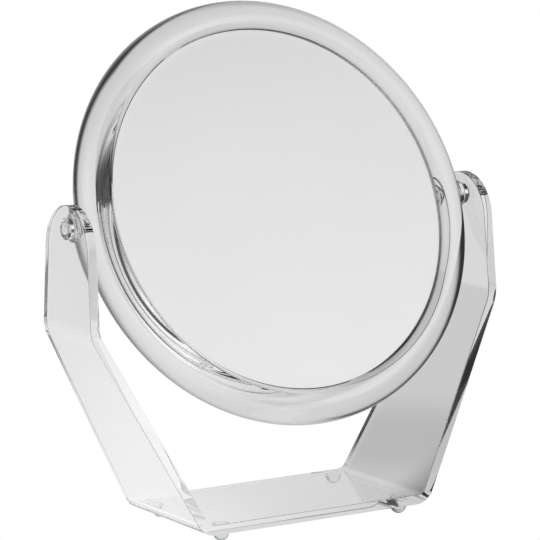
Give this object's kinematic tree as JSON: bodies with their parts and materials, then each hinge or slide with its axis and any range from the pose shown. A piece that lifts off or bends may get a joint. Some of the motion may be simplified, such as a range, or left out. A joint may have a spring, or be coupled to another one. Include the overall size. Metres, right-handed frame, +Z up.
{
  "type": "countertop swivel mirror",
  "caption": "Round two-sided countertop mirror in a thick clear ring frame, swivelling between the arms of a clear bent-strip stand on small rubber feet.",
  "frame": {"origin": "on the table under the middle of the stand, at the height of the feet's undersides", "axes": "+Z up, -Y towards the user (the plain glass faces -Y and leans back), +X to the user's right along the pivot axis"},
  "size_m": [0.2152, 0.0874, 0.2353],
  "materials": {
    "clear_acrylic": "clear polished acrylic sheet, heat-bent",
    "clear_styrene": "clear injection-moulded plastic, glossy",
    "silvered_glass": "silvered float glass",
    "grey_foam": "closed-cell foam, cut faces",
    "clear_rubber": "clear soft polyurethane domes"
  },
  "bodies": {
    "stand_assembly": {"stand": "clear_acrylic", "foot_front_left": "clear_rubber", "foot_front_right": "clear_rubber", "foot_rear_left": "clear_rubber", "foot_rear_right": "clear_rubber"},
    "mirror_head": {"ring_frame": "clear_styrene", "plain_mirror_glass": "silvered_glass", "magnifying_mirror_glass": "silvered_glass", "glass_spacer_ring": "grey_foam", "pivot_stud_left": "clear_styrene", "pivot_stud_right": "clear_styrene"}
  },
  "joints": [
    {"name": "head_swivel", "type": "hinge", "parent": "stand_assembly", "child": "mirror_head", "pos_m": [0, 0, 0.1417], "axis": [1, 0, 0], "continuous": true}
  ]
}
